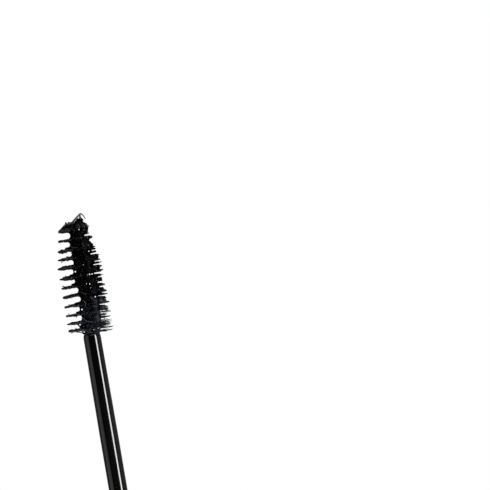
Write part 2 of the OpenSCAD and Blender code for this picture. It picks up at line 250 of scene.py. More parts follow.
def closed_tubes(rings):
    """Corners and faces of closed tubes from an array (tubes, rings, sides, 3).

    Each ring joins the next one, its last side joins its first, and both ends close on a pole at
    the mean of their ring, so every tube is one closed shell whose faces point outwards.
    """
    n, u, v = rings.shape[:3]
    poles = rings[:, [0, -1]].mean(axis=2)
    verts = np.concatenate([rings.reshape(n, u * v, 3), poles], axis=1).reshape(-1, 3)
    base = np.arange(n)[:, None, None] * (u * v + 2)
    i, j = np.meshgrid(np.arange(u - 1), np.arange(v), indexing="ij")
    k = (j + 1) % v
    quads = np.stack([i * v + j, i * v + k, (i + 1) * v + k, (i + 1) * v + j], axis=-1)
    quads = quads.reshape(1, -1, 4)
    quads = (quads + base).reshape(-1, 4)
    j = np.arange(v)
    k = (j + 1) % v
    foot = np.stack([np.full(v, u * v), k, j], axis=-1)
    head = np.stack([np.full(v, u * v + 1), (u - 1) * v + j, (u - 1) * v + k], axis=-1)
    tris = (np.concatenate([foot, head])[None] + base).reshape(-1, 3)
    return verts, quads, tris


def merge(parts):
    """Several (corners, quads, triangles) as one."""
    offsets = np.cumsum([0] + [len(p[0]) for p in parts[:-1]])
    return (np.concatenate([p[0] for p in parts]),
            np.concatenate([p[1] + o for p, o in zip(parts, offsets)]),
            np.concatenate([p[2] + o for p, o in zip(parts, offsets)]))


def clumps(rng, root_s, tip_s, root_r, reach, angle, half, depth, bow, flute, u_count, v_count):
    """Coated clumps that stand out of the brush, as closed tubes.

    A clump's centre runs straight from its root to its tip and bows along the brush as the sine of
    the way. Its section is an ellipse, half wide along the brush and depth times that around it. The
    half width runs through four given values at the root, a third, seven and nine tenths, is swollen
    by waves that turn round the clump as they climb it, and closes over the last tenth as a quarter
    circle. Every argument is an array with one value for each clump; half holds four.
    """
    n = len(reach)
    end = np.linspace(0, 1, u_count) ** 0.85
    way = end[None, :, None]
    turn = (2 * np.pi * np.arange(v_count) / v_count)[None, None, :]
    width = np.stack([np.interp(end, [0, 0.34, 0.7, 0.92], h) for h in half])[:, :, None]
    close = np.sqrt(np.clip(1 - (np.clip(end - 0.9, 0, None) / 0.1) ** 2, 0.0025, 1))[None, :, None]
    phase = rng.uniform(0, 2 * np.pi, (4, n, 1, 1))
    waves = (0.55 * np.sin(3 * turn + 6 * way + phase[0]) + 0.45 * np.sin(5 * turn - 9 * way + phase[1])
             + 0.7 * np.sin(15 * way + phase[2]) + 0.4 * np.sin(31 * way + 2 * turn + phase[3]))
    radius = width * close * (1 + flute[:, None, None] * waves)
    root_s, tip_s, root_r, reach, depth, bow = (
        np.asarray(a, dtype=float)[:, None, None] for a in (root_s, tip_s, root_r, reach, depth, bow))
    s = root_s + (tip_s - root_s) * way + bow * np.sin(np.pi * way)
    r = root_r + (reach - root_r) * way
    out = np.stack([np.zeros(n), np.cos(angle), np.sin(angle)], axis=-1)[:, None, None, :]
    along = np.array([1.0, 0, 0])
    across = np.cross(out, along)
    centre = np.stack([NOSE_SHOULDER - s, 0 * s, 0 * s], axis=-1) + r[..., None] * out
    ring = (centre + (radius * np.cos(turn))[..., None] * along
            + (radius * depth * np.sin(turn))[..., None] * across)
    return closed_tubes(ring)


def strands(paths, radii, sides):
    """Round strands along given paths, as closed tubes.

    paths is an array (strands, points, 3) in millimetres of the model's frame. Each ring lies square
    to the path, turned so that one side of it faces up, with the given radius at each point.
    """
    ahead = np.gradient(paths, axis=1)
    ahead /= np.linalg.norm(ahead, axis=-1, keepdims=True)
    up = np.array([0.13, 0.21, 0.97])
    side = np.cross(up, ahead)
    side /= np.linalg.norm(side, axis=-1, keepdims=True)
    top = np.cross(ahead, side)
    turn = 2 * np.pi * np.arange(sides) / sides
    ring = (paths[:, :, None] + radii[..., None, None] * (
        np.cos(turn)[:, None] * side[:, :, None] + np.sin(turn)[:, None] * top[:, :, None]))
    return closed_tubes(ring)


def place(s, t, h):
    """Points given along the brush, sideways and up, in millimetres of the model's frame."""
    return np.stack(np.broadcast_arrays(NOSE_SHOULDER - np.asarray(s, float), t, h), axis=-1).astype(float)


def reach_at(s):
    """The brush's outline: level, then narrowing towards the tip."""
    return np.interp(s, [0, 15.5, 17.4, 19.2, 21.4, 23.4, 25.0], [4.9, 4.9, 4.5, 4.2, 3.75, 3.35, 2.7])


def bristle_row(k, settings):
    """One row: the comb side's fan, the tufts opposite, the clumps above and below, fine hairs."""
    rng = np.random.default_rng(settings.seed * 100 + k)
    root, tip, reach, *widths, skirt, side_hairs = COMB[k]
    parts = []
    # The comb side: one clump straight to -Y as given, its neighbours round the brush beside it.
    n = settings.fan
    spread = np.linspace(-1.25, 1.25, n)
    keep = np.where(np.abs(spread) < 0.1, 1.0, skirt + rng.uniform(-0.07, 0.07, n))
    slim = np.where(np.abs(spread) < 0.1, 1.0, rng.uniform(0.6, 0.95, n))
    drift = np.abs(spread) * rng.uniform(-0.1, 0.1, n)
    parts.append(clumps(
        rng, root + drift, tip + drift, np.full(n, COMB_FOOT), reach * keep, np.pi + spread,
        1.08 * np.array(widths)[None] * slim[:, None], np.full(n, 1.25), rng.uniform(-0.06, 0.06, n),
        np.full(n, 0.13), 26, 16))
    # Tufts to +Y that start in this row's length, each with a smaller one above and below it.
    low = COMB[k - 1][0] + 0.5 * (root - COMB[k - 1][0]) if k else 0
    high = root + 0.5 * (COMB[k + 1][0] - root) if k < 11 else 26
    mine = np.array([tuft for tuft in TUFTS if low <= tuft[0] < high])
    m = len(mine)
    for turn, size, length in (
            (0.0, 1.0, 1.0), (0.5, 0.9, 0.93), (-0.5, 0.9, 0.93), (1.0, 0.8, 0.9), (-1.0, 0.8, 0.9)):
        lean = rng.uniform(-0.07, 0.07, m) * (turn != 0)
        half = mine[:, 3] * size * 1.18
        s0, s1, angle = mine[:, 0] + lean, mine[:, 1] + lean, turn + lean
        far = (mine[:, 2] + 0.16) * length
        fits = (turn == 0) | leaves_clear(s0, s1, TUFT_FOOT * np.cos(angle), far * np.cos(angle), [], half)
        s0, s1, far, angle, half = s0[fits], s1[fits], far[fits], angle[fits], half[fits]
        if len(half):
            parts.append(clumps(
                rng, s0, s1, 0 * half + TUFT_FOOT, far, angle, half[:, None] * [1.35, 1.2, 1.0, 0.75],
                0 * half + 1.3, rng.uniform(-0.05, 0.05, len(half)), 0 * half + 0.10, 18, 12))
    # Clumps above and below, which fill the brush's middle.
    n = FILLERS
    up = np.where(np.arange(n) % 2 == 0, 1.0, -1.0) * np.pi / 2 + rng.uniform(-0.42, 0.42, n)
    where = np.clip(root + rng.uniform(-0.95, 0.95, n), 0.6, 24.6)
    half = rng.uniform(0.12, 0.22, n)
    length = reach_at(where) * rng.uniform(0.7, 0.95, n)
    clear = leaves_clear(
        where, where, 0.1 * np.cos(up), length * np.cos(up), COMB_SPACES + TUFT_SPACES, half * 1.3)
    where, half, length, up = where[clear], half[clear], length[clear], up[clear]
    n = len(where)
    parts.append(clumps(
        rng, where, where, np.full(n, FILLER_FOOT), length, up,
        half[:, None] * [1.3, 1.1, 0.9, 0.7], np.full(n, 1.2), rng.uniform(-0.08, 0.08, n),
        np.full(n, 0.10), 16, 10))
    parts.append(hair_fan(k, rng, settings, side_hairs))
    return merge(parts)


def hair_fan(k, rng, settings, side_hairs):
    """Fine hairs: straight bristle ends all round one row, and a few that split off its long clump.

    A hair runs from a point near the core to the outline, bowed along the brush as the square of the
    way, and narrows to its tip.
    """
    root, tip, reach = COMB[k][:3]
    n = settings.hairs
    thick = np.where(np.arange(n) % 4 == 0, 1.7, 0.9)
    angle = rng.uniform(-np.pi, np.pi, n)
    comb = np.cos(angle) < 0.1
    scatter = np.where(comb, 0.14, 0.95)
    s0 = np.clip(root + rng.uniform(-1, 1, n) * scatter, 0.5, 24.8)
    angle = np.where(comb & (np.cos(angle) < -0.8), np.pi / 2 + rng.uniform(-0.9, 0.9, n), angle)
    angle = np.where((np.cos(angle) > 0.55) & (s0 > 6.1),
                     np.sign(angle) * rng.uniform(1.0, 1.6, n), angle)
    s1 = np.where(comb, tip + (s0 - root) * 1.2, s0 + rng.uniform(-0.3, 0.15, n))
    out = np.minimum(reach_at(s0), np.where(comb, reach, 9)) * rng.uniform(0.78, 1.0, n)
    # The ones that split off the long clump start on it and lean away from it.
    start = rng.uniform(0.35, 0.8, side_hairs) * reach
    first = place(root + 0 * start, -start, 0.1 + 0 * start)
    lean = rng.uniform(0.28, 0.62, side_hairs) * np.where(rng.random(side_hairs) < 0.62, 1, -1)
    last = place(root + lean, -start - rng.uniform(0.3, 0.8, side_hairs), rng.uniform(-0.2, 0.4, side_hairs))
    fits = leaves_clear(s0, s1, HAIR_FOOT * np.cos(angle), out * np.cos(angle), TUFT_SPACES, 0.05)
    s0, s1, out, angle, thick = s0[fits], s1[fits], out[fits], angle[fits], thick[fits]
    a = np.concatenate([place(s0, HAIR_FOOT * np.cos(angle), HAIR_FOOT * np.sin(angle)), first])
    b = np.concatenate([place(s1, out * np.cos(angle), out * np.sin(angle)), last])
    way = np.linspace(0, 1, 6)[None, :, None]
    bow = rng.uniform(-0.22, 0.12, len(a))[:, None, None] * np.array([-1.0, 0, 0])
    paths = a[:, None] + (b - a)[:, None] * way + bow * way ** 2
    size = np.concatenate([thick, np.full(side_hairs, 2.1)])[:, None] * rng.uniform(0.85, 1.15, (len(a), 1))
    radii = settings.hair_radius / MM * size * np.linspace(1.25, 0.7, 6)[None]
    return strands(paths, radii, 5)


def clear_of(s, t, spaces):
    """Distance in plan from points to the nearest of some tapering round-ended spaces."""
    best = np.full(np.broadcast(s, t).shape, 9.0)
    for s0, t0, s1, t1, r0, r1 in spaces:
        length = (s1 - s0) ** 2 + (t1 - t0) ** 2
        way = np.clip(((s - s0) * (s1 - s0) + (t - t0) * (t1 - t0)) / length, 0, 1)
        away = np.hypot(s - s0 - way * (s1 - s0), t - t0 - way * (t1 - t0))
        best = np.minimum(best, away - r0 - way * (r1 - r0))
    return best


def clear_of_pinholes(s, t):
    """Distance in plan from points to the nearest pinhole."""
    return np.min([np.hypot(s - hole[0], t - hole[1]) - hole[2] for hole in PINHOLES], axis=0)


def leaves_clear(s0, s1, t0, t1, spaces, margin):
    """Whether each straight piece, given in plan by both ends, leaves the pinholes and spaces clear."""
    way = np.linspace(0, 1, 12)[:, None]
    s, t = s0 + (s1 - s0) * way, t0 + (t1 - t0) * way
    room = np.minimum(clear_of_pinholes(s, t), clear_of(s, t, spaces))
    return np.min(room, axis=0) > margin


def waves(rng, s, t, lengths, count):
    """Low lumps: the mean of sine waves of given lengths that run in seeded directions."""
    total = 0 * s * t
    for length in lengths:
        for _ in range(count):
            way = rng.uniform(0, 2 * np.pi)
            k = 2 * np.pi / (length * rng.uniform(0.75, 1.3))
            along = s * math.cos(way) + t * math.sin(way)
            total = total + length * np.sin(k * along + rng.uniform(0, 2 * np.pi))
    return total / (sum(lengths) * math.sqrt(count))


def solid_cells(inside):
    """The grid cells whose four corners are inside, the corners they use, and those they surround.

    Where two cells join along a side with both its ends on the border, one of them is dropped, and so
    is a cell with all its corners there, so that both surfaces meet as one clean shell.
    """
    full = inside[:-1, :-1] & inside[1:, :-1] & inside[:-1, 1:] & inside[1:, 1:]
    beside = np.zeros((4,) + inside.shape, dtype=bool)
    for _ in range(12):
        beside[0, :-1, :-1] = beside[1, 1:, :-1] = beside[2, :-1, 1:] = beside[3, 1:, 1:] = full
        inner = beside.all(axis=0)
        pinch = full[:, :-1] & full[:, 1:] & ~inner[:-1, 1:-1] & ~inner[1:, 1:-1]
        full[:, 1:] &= ~pinch
        other = full[:-1] & full[1:] & ~inner[1:-1, :-1] & ~inner[1:-1, 1:]
        full[1:] &= ~other
        lone = full & ~(inner[:-1, :-1] | inner[1:, :-1] | inner[:-1, 1:] | inner[1:, 1:])
        full &= ~lone
        if not (pinch.any() or other.any() or lone.any()):
            break
    return full, beside.any(axis=0), inner


def carried_mascara(settings):
    """The mascara round the core, one closed body that the clear spaces and pinholes pass through.

    It is an upper and a lower surface over the same plan. The plan lies between a left and a right
    edge and outside every clear space. The height is that of an oval between the edges, times a
    quarter circle of the distance to the plan's border, plus low waves, so both surfaces meet there.
    Corners on the border are drawn onto it along the slope of that distance.
    """
    rng = np.random.default_rng(settings.seed)
    s = np.arange(BODY_START, 26.9, CELL)[:, None]
    t = np.arange(-2.9, 4.9, CELL)[None]
    left = np.interp(
        s, [0.2, 1.2, 2.0, 22.6, 23.1, 23.6, 25.05], [-1.5, -1.9, -2.55, -2.55, -3.1, -3.0, -1.5])
    right = np.interp(
        s, [0.2, 0.9, 2, 5, 5.7, 6.3, 7, 16.8, 17.4, 19.2, 20.6, 21.3, 21.9, 23.6, 24.9, 25.4, 26.1, 26.6],
        [1.75, 2.0, 2.4, 2.8, 4.15, 4.0, 4.3, 4.25, 4.1, 3.7, 3.05, 3.5, 2.8, 3.15, 2.4, 2.45, 1.95, 1.9])
    right = right + 0.14 * waves(rng, s, 0 * s, (0.9, 0.5), 4)
    top = 25.0 + np.clip(t - 0.05, 0, 1.75) * 0.95 + 0.2 * waves(rng, 0 * t, t, (0.9, 0.5), 3)
    middle, half = (left + right) / 2, (right - left) / 2
    room = np.minimum(half - np.abs(t - middle), np.minimum(s - 0.3, (top - s) * 0.75))
    room = np.minimum(room, clear_of(s, t, COMB_SPACES + TUFT_SPACES))
    room = np.minimum(room, clear_of_pinholes(s, t))
    full, used, inner = solid_cells(room > 0)
    # Draw the border's corners onto the border.
    slope_s, slope_t = np.gradient(room, CELL)
    steep = np.maximum(slope_s ** 2 + slope_t ** 2, 0.3)
    pull = np.where(used & ~inner, -np.clip(room, -2 * CELL, 2 * CELL) / steep, 0)
    plan_s = s + np.clip(pull * slope_s, -1.2 * CELL, 1.2 * CELL)
    plan_t = t + np.clip(pull * slope_t, -1.2 * CELL, 1.2 * CELL)
    high = np.interp(s, [0.2, 1.5, 8, 16, 22, 25.1, 26.7], [1.55, 1.95, 2.3, 2.3, 1.9, 1.2, 0.5])
    core = np.clip(1 - (np.clip(np.abs(t - 0.35) - 0.8, 0, None) / 2.9) ** 2, 0.09, 1)
    edge = np.sqrt(1 - (1 - np.clip(room / 0.75, 0, 1)) ** 2)
    height = high * np.sqrt(core) * edge
    lump = settings.lump / MM * edge
    upper = np.where(inner, height + lump * waves(rng, s, t, (2.4, 1.2, 0.6), 7), 0)
    lower = np.where(inner, -height - lump * waves(rng, s, t, (2.4, 1.2, 0.6), 7), 0)

    def places(z, keep):
        """The corners that are kept, at the given heights."""
        return np.stack([NOSE_SHOULDER - plan_s[keep], plan_t[keep], z[keep]], axis=-1)

    def corners(n):
        """Each full cell's four corners, as numbers from the given grid."""
        return np.stack([n[:-1, :-1][full], n[:-1, 1:][full], n[1:, 1:][full], n[1:, :-1][full]], axis=-1)

    index = np.cumsum(used).reshape(used.shape) - 1
    below = np.where(inner, np.cumsum(inner).reshape(inner.shape) - 1 + used.sum(), index)
    verts = np.concatenate([places(upper, used), places(lower, inner)])
    quads = np.concatenate([corners(index), corners(below)[:, ::-1]])
    return verts, quads, np.zeros((0, 3), dtype=np.int64)


def tip_strands():
    """The hooked strand at the brush's tip, the bumps beside it and the threads between clumps.

    A strand is drawn by three points, each along, sideways and up, and by its radius at its foot
    and how much that changes on the way. A thread is thinnest halfway, as the sine of the way.
    """
    drawn = [
        ((24.6, -0.1, 0.9), (25.5, 0.7, 1.0), (26.62, 1.95, 0.5), 0.42, -0.26),
        ((24.6, 1.6, 0.2), (25.7, 1.9, 0.6), (26.62, 1.96, 0.5), 0.30, -0.16),
        ((24.5, -1.8, 0.5), (24.85, -1.2, 1.0), (24.75, -0.4, 1.1), 0.30, 0),
        ((23.45, -3.1, 0.2), (24.0, -2.3, 0.9), (24.7, -1.5, 0.8), 0.34, -0.05),
        ((26.62, 1.95, 0.5), (26.7, 2.45, 0.6), (25.3, 2.95, 0.3), 0.15, -0.06),
        ((24.6, 1.8, 0.0), (25.1, 2.2, 0.3), (25.3, 2.35, 0.2), 0.24, -0.05),
        ((24.3, -1.55, 0.6), (24.9, -1.4, 0.9), (25.3, -1.3, 0.9), 0.20, 0),
        ((24.4, -0.75, 0.8), (24.9, -0.7, 1.0), (25.27, -0.62, 1.0), 0.22, 0),
        ((21.2, 2.2, 0.1), (21.25, 2.9, 0.1), (21.36, 3.45, 0.1), 0.20, 0.16),
    ]
    t = np.linspace(0, 1, 14)
    way = t[:, None]

    def bend(a, b, c):
        """A curve from a to c that is drawn towards b, as a weighted mean of the three points."""
        a, b, c = (place(*p)[None] for p in (a, b, c))
        return (1 - way) ** 2 * a + 2 * way * (1 - way) * b + way ** 2 * c

    paths = np.stack([bend(*strand[:3]) for strand in drawn] + [bend(*ends) for ends in WEBS])
    radii = np.stack([strand[3] + strand[4] * t for strand in drawn])
    radii = np.concatenate([radii, np.tile(0.13 - 0.05 * np.sin(np.pi * t), (len(WEBS), 1))])
    radii = radii * np.where(t > 0.96, 0.75, 1)[None]
    return strands(paths, radii, 10)


# ---- finishes ----

def new_group(name, inputs, outputs):
    """An empty shader node group with its sockets, and its input and output nodes."""
    group = bpy.data.node_groups.new(name, "ShaderNodeTree")
    for label, kind, value in inputs:
        socket = group.interface.new_socket(label, in_out="INPUT", socket_type=kind)
        socket.default_value = value
    for label, kind in outputs:
        group.interface.new_socket(label, in_out="OUTPUT", socket_type=kind)
    return group, group.nodes.new("NodeGroupInput"), group.nodes.new("NodeGroupOutput")


def add(tree, kind, **values):
    """A node with its properties, and its inputs by name, set in one line."""
    node = tree.nodes.new(kind)
    for key, value in values.items():
        if key in node.inputs:
            node.inputs[key].default_value = value
        else:
            setattr(node, key, value)
    return node


def surface_play():
    """A group that varies a colour and a roughness over a surface, and gives a height for its bump."""
    if "surface_play" in bpy.data.node_groups:
        return bpy.data.node_groups["surface_play"]
    color, value = "NodeSocketColor", "NodeSocketFloat"
    group, given, out = new_group(
        "surface_play",
        [("Color", color, (0, 0, 0, 1)), ("Second Color", color, (0, 0, 0, 1)), ("Roughness", value, 0.3),
         ("Second Roughness", value, 0.4), ("Patch Scale", value, 200.0), ("Grain Scale", value, 4000.0),
         ("Stretch", value, 1.0)],
        [("Color", color), ("Roughness", value), ("Height", value)])
    link = group.links.new
    where = add(group, "ShaderNodeTexCoord")
    scale = add(group, "ShaderNodeCombineXYZ", Y=1.0, Z=1.0)
    stretched = add(group, "ShaderNodeVectorMath", operation="MULTIPLY")
    patches = add(group, "ShaderNodeTexNoise", Detail=4.0, Roughness=0.6)
    grain = add(group, "ShaderNodeTexNoise", Detail=3.0, Roughness=0.65)
    sharpen = add(group, "ShaderNodeMapRange", interpolation_type="SMOOTHSTEP")
    sharpen.inputs["From Min"].default_value, sharpen.inputs["From Max"].default_value = 0.38, 0.66
    tint = add(group, "ShaderNodeMix", data_type="RGBA")
    rough = add(group, "ShaderNodeMix", data_type="FLOAT")
    height = add(group, "ShaderNodeMath", operation="MULTIPLY_ADD")
    height.inputs[1].default_value = 0.35
    link(given.outputs["Stretch"], scale.inputs["X"])
    link(where.outputs["Object"], stretched.inputs[0])
    link(scale.outputs[0], stretched.inputs[1])
    link(stretched.outputs[0], patches.inputs["Vector"])
    link(stretched.outputs[0], grain.inputs["Vector"])
    link(given.outputs["Patch Scale"], patches.inputs["Scale"])
    link(given.outputs["Grain Scale"], grain.inputs["Scale"])
    link(patches.outputs[0], sharpen.inputs[0])
    link(sharpen.outputs[0], tint.inputs["Factor"])
    link(given.outputs["Color"], tint.inputs[6])
    link(given.outputs["Second Color"], tint.inputs[7])
    link(sharpen.outputs[0], rough.inputs["Factor"])
    link(given.outputs["Roughness"], rough.inputs[2])
    link(given.outputs["Second Roughness"], rough.inputs[3])
    link(patches.outputs[0], height.inputs[0])
    link(grain.outputs[0], height.inputs[2])
    link(tint.outputs[2], out.inputs["Color"])
    link(rough.outputs[0], out.inputs["Roughness"])
    link(height.outputs[0], out.inputs["Height"])
    return group


def streaks_and_painted_sheen():
    """A group that lays streaks of a colour over a surface, none at one place on X and most at another:
    mascara traces on the parts, a painted grey sheen on the brush's mascara.
    """
    if "streaks_and_painted_sheen" in bpy.data.node_groups:
        return bpy.data.node_groups["streaks_and_painted_sheen"]
    color, value = "NodeSocketColor", "NodeSocketFloat"
    group, given, out = new_group(
        "streaks_and_painted_sheen",
        # The socket named Mascara is the streaks' colour; on the brush's mascara it is the grey of a painted
        # sheen.
        [("Color", color, (0, 0, 0, 1)), ("Roughness", value, 0.3), ("Mascara", color, (0, 0, 0, 1)),
         ("From", value, 0.0), ("To", value, 0.01), ("Amount", value, 0.5)],
        [("Color", color), ("Roughness", value)])
    link = group.links.new
    where = add(group, "ShaderNodeTexCoord")
    split = add(group, "ShaderNodeSeparateXYZ")
    near = add(group, "ShaderNodeMapRange", interpolation_type="SMOOTHSTEP")
    streaks = add(group, "ShaderNodeTexNoise", Scale=900.0, Detail=5.0, Roughness=0.6, Distortion=0.6)
    reach = add(group, "ShaderNodeMath", operation="MULTIPLY")
    total = add(group, "ShaderNodeMath", operation="ADD")
    edge = add(group, "ShaderNodeMapRange", interpolation_type="SMOOTHSTEP")
    edge.inputs["From Min"].default_value, edge.inputs["From Max"].default_value = 0.86, 0.98
    tint = add(group, "ShaderNodeMix", data_type="RGBA")
    rough = add(group, "ShaderNodeMix", data_type="FLOAT")
    rough.inputs[3].default_value = 0.22
    link(where.outputs["Object"], split.inputs[0])
    link(where.outputs["Object"], streaks.inputs["Vector"])
    link(split.outputs["X"], near.inputs[0])
    link(given.outputs["From"], near.inputs["From Min"])
    link(given.outputs["To"], near.inputs["From Max"])
    link(near.outputs[0], reach.inputs[0])
    link(given.outputs["Amount"], reach.inputs[1])
    link(reach.outputs[0], total.inputs[0])
    link(streaks.outputs[0], total.inputs[1])
    link(total.outputs[0], edge.inputs[0])
    link(edge.outputs[0], tint.inputs["Factor"])
    link(given.outputs["Color"], tint.inputs[6])
    link(given.outputs["Mascara"], tint.inputs[7])
    link(edge.outputs[0], rough.inputs["Factor"])
    link(given.outputs["Roughness"], rough.inputs[2])
    link(tint.outputs[2], out.inputs["Color"])
    link(rough.outputs[0], out.inputs["Roughness"])
    return group


def finish(name, color, second, roughness, patch, grain, bump, stretch=1.0, traces_and_sheen=None,
           **constants):
    """A material: the varied colour and roughness, a bump in millimetres, constants on the shader.

    Streaks, if given, are a colour, the two places on X between which they grow, and an amount: mascara
    traces on the parts, a painted grey sheen on the brush's mascara.
    """
    if name in bpy.data.materials:
        return bpy.data.materials[name]
    material = bpy.data.materials.new(name)
    material.use_nodes = True
    material.diffuse_color = (*color, 1)
    tree = material.node_tree
    link = tree.links.new
    shader = tree.nodes["Principled BSDF"]
    for key, value in constants.items():
        shader.inputs[key.replace("_", " ")].default_value = value
    play = add(tree, "ShaderNodeGroup")
    play.node_tree = surface_play()
    values = {"Color": (*color, 1), "Second Color": (*second, 1), "Roughness": roughness[0],
              "Second Roughness": roughness[1], "Patch Scale": patch, "Grain Scale": grain,
              "Stretch": stretch}
    for key, value in values.items():
        play.inputs[key].default_value = value
    shade = play
    # Streaks laid over the colour: mascara traces on the parts, and on the brush's mascara a painted grey
    # sheen.
    if traces_and_sheen:
        shade = add(tree, "ShaderNodeGroup")
        shade.node_tree = streaks_and_painted_sheen()
        shade.inputs["Mascara"].default_value = (*traces_and_sheen[0], 1)
        shade.inputs["From"].default_value, shade.inputs["To"].default_value = traces_and_sheen[1], traces_and_sheen[2]
        shade.inputs["Amount"].default_value = traces_and_sheen[3]
        link(play.outputs["Color"], shade.inputs["Color"])
        link(play.outputs["Roughness"], shade.inputs["Roughness"])
    relief = add(tree, "ShaderNodeBump", Strength=1.0, Distance=bump * MM)
    link(shade.outputs["Color"], shader.inputs["Base Color"])
    link(shade.outputs["Roughness"], shader.inputs["Roughness"])
    link(play.outputs["Height"], relief.inputs["Height"])
    link(relief.outputs["Normal"], shader.inputs["Normal"])
    return material


def mascara_finish(name, sheen, thick=0.0, coat=0.0):
    """Wet black mascara with a fine clotted relief; towards the stem grey streaks are painted on it as a
    painted sheen.
    """
    black = tuple(bpy.context.scene.mascara_finish.mascara)
    second = tuple(c * 2.0 for c in black)
    # Painted sheen: patchy grey streaks painted into the colour, growing towards the stem's end of the brush
    # by the amount thick.
    painted_sheen_streaks = (tuple(c * PAINTED_SHEEN_TINT for c in black), (NOSE_SHOULDER - 13) * MM, (NOSE_SHOULDER - 6) * MM, thick)
    return finish(name, black, second, (0.3, 0.5), 420.0, 2600.0, 0.010, traces_and_sheen=painted_sheen_streaks,
                  Specular_IOR_Level=sheen, Coat_Weight=coat, Coat_Roughness=0.25)


def dress(node, material):
    """Puts a material on a node of the model."""
    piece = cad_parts[node]
    piece.data.materials.clear()
    piece.data.materials.append(material)


# ---- operators ----

class MASCARA_OT_stage(bpy.types.Operator):
    """Set up the pale floor, the studio lights and the camera"""
    bl_idname = "mascara.stage"
    bl_label = "Studio"

    def execute(self, context):
        studio = context.scene.mascara_studio
        aim = ((NOSE_SHOULDER - 13.9) * MM, 36.13 * MM, 0.0)
        self.floor()
        self.world(context)
        self.strip(studio, aim)
        self.panel(studio, aim)
        camera = bpy.data.objects.new("camera", bpy.data.cameras.new("camera"))
        context.scene.collection.objects.link(camera)
        camera.data.lens = studio.lens
        camera.data.sensor_width = 36.0
        camera.data.clip_start, camera.data.clip_end = 0.01, 20.0
        camera.location = (aim[0], aim[1], studio.height)
        camera.rotation_euler = (0, 0, math.pi / 2 - studio.lean)
        context.scene.camera = camera
        context.scene.view_settings.view_transform = "Standard"
        return {"FINISHED"}

    def floor(self):
        """A flat square under the object: white to the camera, darker in the gloss of what stands on it."""
        side = 1500.0
        corners = np.array([[-side, -side, 0], [side, -side, 0], [side, side, 0], [-side, side, 0]])
        corners = corners + np.array([128.0, 0, FLOOR_Z / MM])
        floor = mesh_object("floor", corners, np.array([[0, 1, 2, 3]]))
        material = bpy.data.materials.new("floor_white")
        material.use_nodes = True
        tree = material.node_tree
        tree.nodes.clear()
        link = tree.links.new
        path = add(tree, "ShaderNodeLightPath")
        glow = add(tree, "ShaderNodeEmission", Color=(1, 1, 1, 1), Strength=1.0)
        pale = add(tree, "ShaderNodeBsdfDiffuse", Color=(0.8, 0.8, 0.8, 1))
        dark = add(tree, "ShaderNodeBsdfDiffuse", Color=(0.10, 0.10, 0.10, 1))
        gloss = add(tree, "ShaderNodeMixShader")
        seen = add(tree, "ShaderNodeMixShader")
        out = add(tree, "ShaderNodeOutputMaterial")
        link(path.outputs["Is Glossy Ray"], gloss.inputs[0])
        link(pale.outputs[0], gloss.inputs[1])
        link(dark.outputs[0], gloss.inputs[2])
        link(path.outputs["Is Camera Ray"], seen.inputs[0])
        link(gloss.outputs[0], seen.inputs[1])
        link(glow.outputs[0], seen.inputs[2])
        link(seen.outputs[0], out.inputs["Surface"])
        floor.data.materials.append(material)

    def world(self, context):
        """White to the camera; as light, dark overhead, pale at the horizon, bright past both ends."""
        world = bpy.data.worlds.new("studio")
        context.scene.world = world
        world.use_nodes = True
        tree = world.node_tree
        tree.nodes.clear()
        link = tree.links.new
        where = add(tree, "ShaderNodeTexCoord")
        split = add(tree, "ShaderNodeSeparateXYZ")
        fade = add(tree, "ShaderNodeMapRange", interpolation_type="SMOOTHSTEP")
        for key, value in (("From Min", 0.0), ("From Max", 0.85), ("To Min", 0.14), ("To Max", 0.006)):
            fade.inputs[key].default_value = value
        end = add(tree, "ShaderNodeMath", operation="ABSOLUTE")
        ends = add(tree, "ShaderNodeMapRange", interpolation_type="SMOOTHSTEP")
        for key, value in (("From Min", 0.45), ("From Max", 0.85), ("To Min", 0.0), ("To Max", 1.5)):
            ends.inputs[key].default_value = value
        both = add(tree, "ShaderNodeMath", operation="ADD")
        path = add(tree, "ShaderNodeLightPath")
        dim = add(tree, "ShaderNodeBackground", Color=(1, 1, 1, 1))
        white = add(tree, "ShaderNodeBackground", Color=(1, 1, 1, 1), Strength=1.0)
        seen = add(tree, "ShaderNodeMixShader")
        out = add(tree, "ShaderNodeOutputWorld")
        link(where.outputs["Generated"], split.inputs[0])
        link(split.outputs["Z"], fade.inputs[0])
        link(split.outputs["X"], end.inputs[0])
        link(end.outputs[0], ends.inputs[0])
        link(fade.outputs[0], both.inputs[0])
        link(ends.outputs[0], both.inputs[1])
        link(both.outputs[0], dim.inputs["Strength"])
        link(path.outputs["Is Camera Ray"], seen.inputs[0])
        link(dim.outputs[0], seen.inputs[1])
        link(white.outputs[0], seen.inputs[2])
        link(seen.outputs[0], out.inputs["Surface"])

    def light(self, name, aim, angle, distance, width, length, radiance):
        """A rectangle of light along X that faces the aim from an angle off the vertical, towards +Y."""
        lamp = bpy.data.lights.new(name, "AREA")
        lamp.shape = "RECTANGLE"
        lamp.size, lamp.size_y = length, width
        lamp.energy = radiance * math.pi * width * length
        piece = bpy.data.objects.new(name, lamp)
        bpy.context.scene.collection.objects.link(piece)
        piece.location = (aim[0], distance * math.sin(angle), distance * math.cos(angle))
        piece.rotation_euler = (-angle, 0, 0)
        piece.visible_camera = False

    def strip(self, studio, aim):
        """The narrow light that draws one bright line along the stem."""
        self.light("strip", aim, math.radians(54.0), 0.62, 0.18, 1.5, studio.strip)

    def panel(self, studio, aim):
        """The wide soft panel on the other side, from halfway up down to the horizon."""
        self.light("side_panel", aim, math.radians(-72.0), 0.75, 0.72, 1.8, studio.panel)


